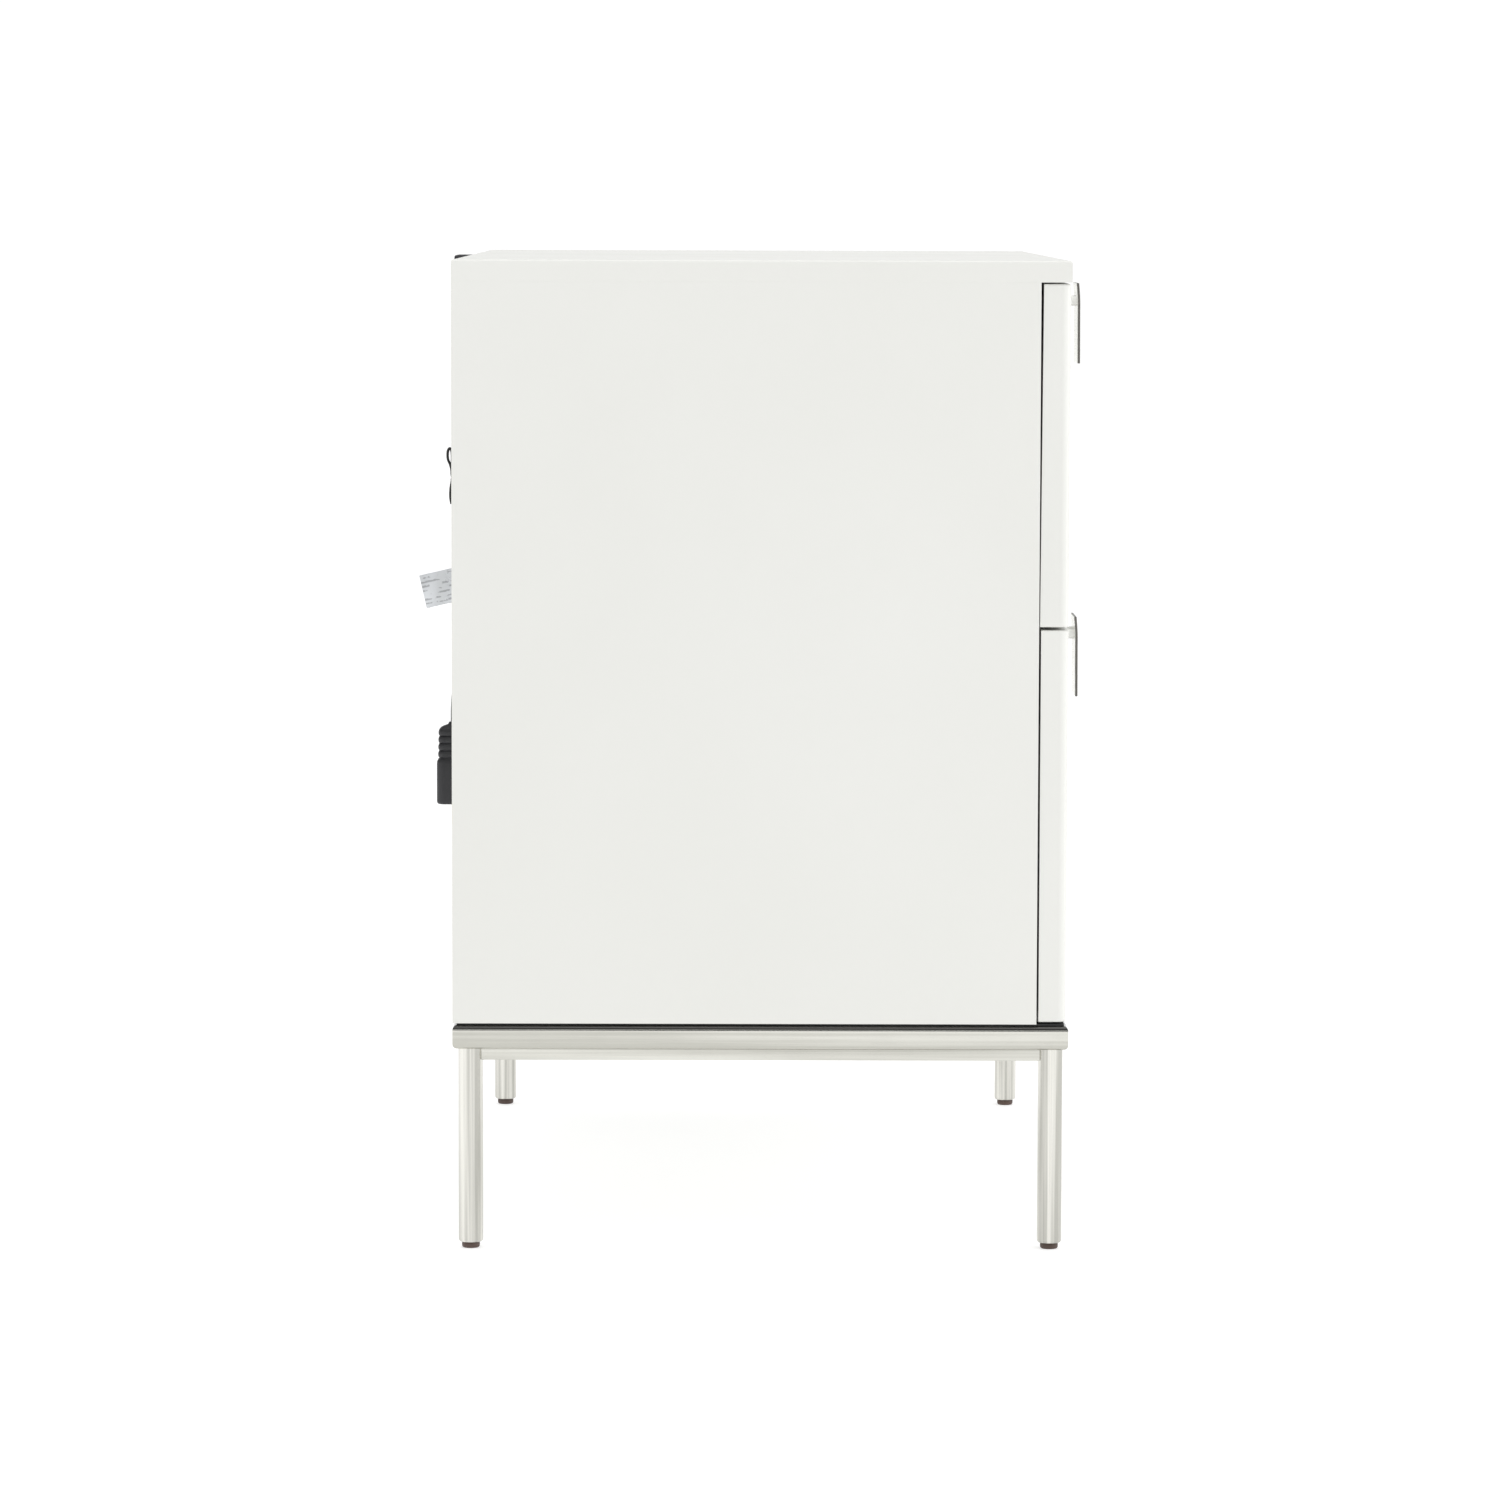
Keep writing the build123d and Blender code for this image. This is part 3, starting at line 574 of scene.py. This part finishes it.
def mains_lead():
    """The whole lead as one curve, in place of the three CAD pieces of it."""
    route = cord_route()
    curve = bpy.data.curves.new("mains_lead", "CURVE")
    curve.dimensions = "3D"
    curve.resolution_u = 3
    curve.bevel_depth = (CORD_D / 2 - 0.03) * MM
    curve.bevel_resolution = 6
    curve.use_fill_caps = True
    spline = curve.splines.new("NURBS")
    spline.points.add(len(route) - 1)
    for point, at in zip(spline.points, route):
        point.co = (*(c * MM for c in at), 1)
    spline.order_u = 3
    spline.use_endpoint_u = True
    spline.resolution_u = 3
    cord = bpy.data.objects.new("mains_lead", curve)
    bpy.context.collection.objects.link(cord)
    finish_piece(cord, "cord_black")
    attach(cord, "case")
    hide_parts("cord_upper", "cord_hank", "cord_tail")
    return cord, route


def strain_relief():
    """A tapered sleeve, slotted between its rings, that leaves the box with the lead."""
    y = corners("cord_upper")[0].y + CORD_D / 2
    top, bottom = 627.0, 602.0
    bm = bmesh.new()
    levels = [(top, 5.3), (top - 2.2, 5.3)]
    rings = 5
    pitch = (top - 2.2 - bottom) / rings
    for i in range(rings):
        z = top - 2.2 - i * pitch
        wide = 5.2 - 1.15 * (i + 1) / rings
        neck = CORD_D / 2 + 0.25
        levels += [(z - 0.25, neck), (z - 0.3 * pitch, neck)]
        levels += [(z - 0.3 * pitch - 0.2, wide - 0.2), (z - 0.3 * pitch - 0.5, wide)]
        levels += [(z - pitch + 0.4, wide - 0.1), (z - pitch + 0.1, wide - 0.35)]
    levels.append((bottom - 0.5, CORD_D / 2 + 0.1))
    lathe(bm, 0, y, levels, 40)
    piece = new_piece("strain_relief", bm, "case", "black_plastic", 35)
    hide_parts("cord_strain_relief")
    return piece


RIB_PROFILE = ((-2.7, 0), (-2.2, 0.55), (-1.2, 0.95), (0, 1.05), (1.2, 0.95), (2.2, 0.55), (2.7, 0))


def plug():
    """A moulded plug: square body, shoulder, and a grip with four rounded ribs."""
    y = BACK_Y + 14.1
    bm = bmesh.new()
    levels = [
        (281.0, 10.3, 10.5, 3.6),
        (281.4, 11.6, 11.8, 4.4),
        (282.2, 12.3, 12.5, 4.8),
        (283.4, 12.5, 12.7, 5.0),
        (311.6, 12.5, 12.7, 5.0),
        (313.4, 12.35, 12.55, 5.0),
        (314.6, 11.9, 12.1, 4.9),
        (315.2, 11.0, 11.2, 4.8),
    ]
    for rib in range(4):
        middle = 318.9 + 5.5 * rib
        for step, swell in RIB_PROFILE:
            narrow = 10.75 - 0.12 * rib
            levels.append((middle + step, narrow + swell, narrow + swell, 4.8))
    levels += [
        (338.9, 9.6, 9.7, 4.7),
        (340.1, 7.4, 7.5, 4.6),
        (341.0, 5.2, 5.2, 4.5),
        (341.6, 4.3, 4.3, 4.2),
        (343.0, 3.7, 3.7, 3.6),
    ]
    stack(bm, (0, y), levels)
    body = new_piece("plug_moulding", bm, "case", "black_plastic", 42)
    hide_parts("plug_body")
    bm = bmesh.new()
    for x in (-6.35, 6.35):
        rings = []
        for z, half_y in ((264.0, 1.9), (264.5, 2.5), (265.6, 3.0), (266.6, 3.15), (282.0, 3.15)):
            outline = rounded(0.75, half_y, 0.3, 3)
            rings.append([(x + a, y - 1.55 + b, z) for a, b in outline])
        loft(bm, rings)
    blades = new_piece("plug_blade_pair", bm, "case", "brass")
    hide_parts("plug_blades")
    return [body, blades]


def label():
    """A silver label folded round the lead, its two halves stuck together as a flag."""
    middle = Vector((1.0, BACK_Y + 9.0, 448.0))
    half = LABEL_H / 2
    sides = 32
    bm = bmesh.new()
    rings = []
    for h, r in ((-half, 0.3), (-half, 0.62), (half, 0.62), (half, 0.3), (-half, 0.3)):
        reach = CORD_D / 2 + r
        rings.append(
            [
                middle + Vector((reach * math.cos(a) + 0.07 * h, reach * math.sin(a), h))
                for a in turns(sides)
            ]
        )
    loft(bm, rings, closed=False)
    columns, rows = 18, 12
    rings = []
    for j in range(rows + 1):
        h = -half + LABEL_H * j / rows
        ring = []
        for face in (1, -1):
            for i in range(columns + 1):
                t = i / columns if face > 0 else 1 - i / columns
                d = 3.5 + LABEL_REACH * t
                ripple = 0.55 * math.sin(0.26 * d + 0.11 * h) + 0.3 * math.sin(0.21 * h - 0.1 * d)
                wave = smooth(t * 1.6) * ripple
                x = 0.2 * face + wave + 0.07 * h * (1 - t)
                y = d * math.cos(LABEL_LEAN) + h * math.sin(LABEL_LEAN)
                z = h * math.cos(LABEL_LEAN) - d * math.sin(LABEL_LEAN)
                ring.append(middle + Vector((x, y, z)))
        rings.append(ring)
    loft(bm, rings)
    tag = new_piece("cord_label", bm, "case", "silver_label", 50)
    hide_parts("cord_tag")
    return tag


def along(points, step=6):
    """Catmull-Rom points through a list of points."""
    points = [Vector(p) for p in points]
    ends = [points[0] * 2 - points[1], *points, points[-1] * 2 - points[-2]]
    out = []
    for a, b, c, d in zip(ends, ends[1:], ends[2:], ends[3:]):
        for i in range(step):
            t = i / step
            square, cube = 2 * a - 5 * b + 4 * c - d, 3 * b - a - 3 * c + d
            out.append(0.5 * (2 * b + (c - a) * t + square * t**2 + cube * t**3))
    return [*out, points[-1]]


TIE_Z = 527.0


def tie():
    """A wire tie: its ribbon round the hank, twisted behind, one end bent into an eye."""
    middle_y, z = BACK_Y + 7.5, TIE_Z
    bm = bmesh.new()
    inner = rounded(36.15, 6.65, 4.5, 6)
    outer = rounded(36.95, 7.45, 5.2, 6)
    rings = []
    for (xi, yi), (xo, yo) in zip(inner, outer):
        wander = 0.8 * math.sin(xi / 11)
        rings.append(
            [
                (x, middle_y + y, z + h + wander)
                for x, y, h in ((xi, yi, -2), (xo, yo, -1.7), (xo, yo, 1.7), (xi, yi, 2))
            ]
        )
    loft(bm, [*rings, rings[0]], closed=False)
    bmesh.ops.remove_doubles(bm, verts=bm.verts, dist=0.001)
    s = BACK_Y + 15.2
    eye = [(-0.9, s - 0.4, z), (0.7, s + 0.3, z + 3), (-0.5, s + 0.5, z + 7), (0.6, s + 1.6, z + 11)]
    eye += [(0.8, s + 3.2, z + 15), (0.2, s + 3.2, z + 20.5), (-0.8, s + 1.7, z + 23)]
    eye += [(-0.9, s + 0.2, z + 20), (-0.7, s, z + 12), (0.9, s + 0.3, z + 6), (-0.6, s - 0.3, z + 2)]
    end = [(0.9, s - 0.4, z + 1), (-0.5, s + 0.4, z - 3), (0.5, s + 1.2, z - 8), (0.1, s + 1.3, z - 14)]
    end += [(-0.3, s + 0.5, z - 19)]
    for wire in (eye, end):
        tube(bm, along(wire), 1.0, 12)
    piece = new_piece("hank_twist_tie", bm, "case", "black_rubber")
    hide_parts("hank_tie")
    return piece


lead, route = mains_lead()
lead_pieces = [strain_relief(), *plug(), label(), tie()]


# Legs and feet


def eased_end(z, radius, ease, way, steps=5):
    """A profile's rounded end at height z; way is 1 at the bottom and -1 at the top."""
    points = []
    for i in range(steps + 1):
        a = math.radians(90 * i / steps)
        points.append((z + way * ease * (1 - math.sin(a)), radius - ease * (1 - math.cos(a))))
    return points if way < 0 else list(reversed(points))


LEG_PLACES = ("front_left", "front_right", "back_left", "back_right")


def legs():
    """Round tubes with a rolled lower end."""
    for place in LEG_PLACES:
        low, high = corners(f"leg_{place}")
        x, y = (low.x + high.x) / 2, (low.y + high.y) / 2
        radius = (high.x - low.x) / 2
        bm = bmesh.new()
        bottom = eased_end(low.z, radius, 2.0, 1)
        lathe(bm, x, y, [(low.z + 0.6, 5.9), (low.z, 6.3), *bottom, (high.z, radius)])
        leg = new_piece(f"leg_tube_{place}", bm, "case", "polished_steel", 35, STEEL_UP)
        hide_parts(f"leg_{place}")


def feet():
    """Brown glides: a disc with a softened rim under a short stem."""
    bm = bmesh.new()
    for place in LEG_PLACES:
        low, high = corners(f"leg_{place}")
        x, y = (low.x + high.x) / 2, (low.y + high.y) / 2
        profile = [(0.0, 4.9), (0.15, 5.5), (0.6, 6.0), (1.2, 6.3), (2.8, 6.4), (3.6, 6.3)]
        lathe(bm, x, y, [*profile, (4.1, 6.0), (8.0, 5.8)], 48)
    piece = new_piece("glides", bm, "case", "brown_plastic", 40)
    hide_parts("feet")


legs()
feet()


# Lamp


CAP_END = 13.0
FILAMENT_AT = 26.0


def lamp():
    """A clear tube with metal end caps, and a coiled filament on two wires at each end."""
    low, high = corners("uv_lamp_tube")
    z = (low.z + high.z) / 2
    y0, y1 = low.y, high.y
    radius = (high.z - low.z) / 2
    bm = bmesh.new()
    sides = 48
    rings = []
    for y, r in ((y0 + 1, radius - 1), (y0 + 1, radius), (y1 - 1, radius), (y1 - 1, radius - 1)):
        rings.append([(r * math.cos(a), y, z + r * math.sin(a)) for a in turns(sides)])
    loft(bm, [*rings, rings[0]], closed=False)
    bmesh.ops.remove_doubles(bm, verts=bm.verts, dist=0.001)
    glass = new_piece("lamp_glass_tube", bm, "case", "lamp_glass")
    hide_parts("uv_lamp_tube")
    bm = bmesh.new()
    for end, way in ((y0, 1), (y1, -1)):
        rings = []
        for d, r in ((0, 7.9), (0.01, 8.2), (0.6, 8.4), (CAP_END, 8.4), (13.6, 8.2), (13.8, 7.9)):
            rings.append([(r * math.cos(a), end + way * d, z + r * math.sin(a)) for a in turns(sides)])
        loft(bm, rings)
        for dx in (-2.5, 2.5):
            tube(bm, [(dx, end + way * CAP_END, z), (dx, end + way * FILAMENT_AT, z)], 0.45, 8)
        middle = end + way * FILAMENT_AT
        coil = [
            (-2.5 + 5 * i / 60, middle + 0.7 * math.cos(i * 0.9), z + 0.7 * math.sin(i * 0.9))
            for i in range(61)
        ]
        tube(bm, coil, 0.22, 6)
    new_piece("lamp_end_caps", bm, "case", "zinc_steel")


lamp()


# Light, floor and backdrop


def sky(tree, stops):
    """A grey sky by height: stops are (height from -1 at the nadir to 1 at the zenith, shade)."""
    place = tree.nodes.new("ShaderNodeTexCoord")
    split = tree.nodes.new("ShaderNodeSeparateXYZ")
    tree.links.new(place.outputs["Generated"], split.inputs["Vector"])
    half = tree.nodes.new("ShaderNodeMath")
    half.operation = "MULTIPLY_ADD"
    half.inputs[1].default_value = 0.5
    half.inputs[2].default_value = 0.5
    tree.links.new(split.outputs["Z"], half.inputs[0])
    ramp = tree.nodes.new("ShaderNodeValToRGB")
    marks = ramp.color_ramp.elements
    while len(marks) < len(stops):
        marks.new(0.5)
    for mark, (height, shade) in zip(marks, stops):
        mark.position = (height + 1) / 2
        mark.color = (shade, shade, shade, 1)
    tree.links.new(half.outputs["Value"], ramp.inputs["Fac"])
    return ramp.outputs["Color"]


def choose(tree, factor, plain, other):
    """Mix two colours; each is a socket or a shade."""
    mix = tree.nodes.new("ShaderNodeMix")
    mix.data_type = "RGBA"
    tree.links.new(factor, mix.inputs["Factor"])
    for socket, value in (("A", plain), ("B", other)):
        if isinstance(value, float):
            mix.inputs[socket].default_value = (value, value, value, 1)
        else:
            tree.links.new(value, mix.inputs[socket])
    return mix.outputs["Result"]


LIGHTS = (  # name, place, size and power
    ("key", (-1.2, -3.0, 1.9), 2.2, 18),
    ("front", (-0.3, -3.0, 0.5), 1.4, 9),
    ("fill", (-2.6, 2.2, 1.6), 2.2, 4),
    ("top", (0.2, 0.0, 3.2), 2.4, 22),
)
LIGHTS_AIM = Vector((0, 0, 0.35))


def studio():
    """An even white surround, darker overhead in reflections, with soft lights for shape."""
    world = bpy.data.worlds.new("studio")
    bpy.context.scene.world = world
    world.use_nodes = True
    tree = world.node_tree
    rays = tree.nodes.new("ShaderNodeLightPath").outputs
    soft = sky(tree, ((-1, 0.9), (0, 0.95), (0.5, 0.98), (1, 1.15)))
    dark_band = ((0.32, 0.2), (0.7, 0.12))
    mirrored = sky(tree, ((-1, 0.9), (0, 1.0), (0.2, 1.0), *dark_band, (0.85, 0.75), (1, 0.95)))
    surround = choose(tree, rays["Is Glossy Ray"], soft, mirrored)
    surround = choose(tree, rays["Is Camera Ray"], surround, 1.05)
    tree.links.new(surround, tree.nodes["Background"].inputs["Color"])
    for name, place, size, power in LIGHTS:
        light = bpy.data.lights.new(name, "AREA")
        light.size = size
        light.energy = power
        soft_box = bpy.data.objects.new(name, light)
        soft_box.location = place
        soft_box.visible_glossy = name != "top"
        aim = LIGHTS_AIM - soft_box.location
        soft_box.rotation_euler = aim.to_track_quat("-Z", "Y").to_euler()
        bpy.context.collection.objects.link(soft_box)


def flag(name, shade, a, b, c):
    """A grey card in the studio that only reflections see; it is given by three corners."""
    a, b, c = (Vector(p) for p in (a, b, c))
    mesh = bpy.data.meshes.new(name)
    mesh.from_pydata([a, b, c, a + c - b], [], [(0, 1, 2, 3)])
    card = bpy.data.objects.new(name, mesh)
    bpy.context.collection.objects.link(card)
    m = Nodes(name)
    m.colour(m.noise(4, 3), (0.3, (shade * 0.92,) * 3), (0.7, (shade * 1.08,) * 3))
    m.rough(m.noise(5), 0.8, 0.95)
    mesh.materials.append(m.material)
    card.visible_camera = False
    card.visible_diffuse = False
    card.visible_shadow = False
    card.visible_transmission = False


def floor():
    """A pale floor that runs out of sight."""
    mesh = bpy.data.meshes.new("floor")
    half = 14.0
    square = [(-half, -half, 0), (half, -half, 0), (half, half, 0), (-half, half, 0)]
    mesh.from_pydata(square, [], [(0, 1, 2, 3)])
    plane = bpy.data.objects.new("floor", mesh)
    bpy.context.collection.objects.link(plane)
    m = Nodes("pale_floor")
    m.set(Emission_Color=(1, 1, 1, 1), Emission_Strength=0.55)
    m.colour(m.noise(2, 2), (0.3, (0.55, 0.55, 0.55)), (0.7, (0.57, 0.57, 0.57)))
    m.rough(m.noise(3), 0.6, 0.7)
    mesh.materials.append(m.material)


studio()
floor()
flag("flag_room", 0.05, (-3, -1.4, 0.1), (-3, 1.0, 0.1), (-3, 1.0, 0.68))

bpy.context.scene.view_settings.view_transform = "Standard"
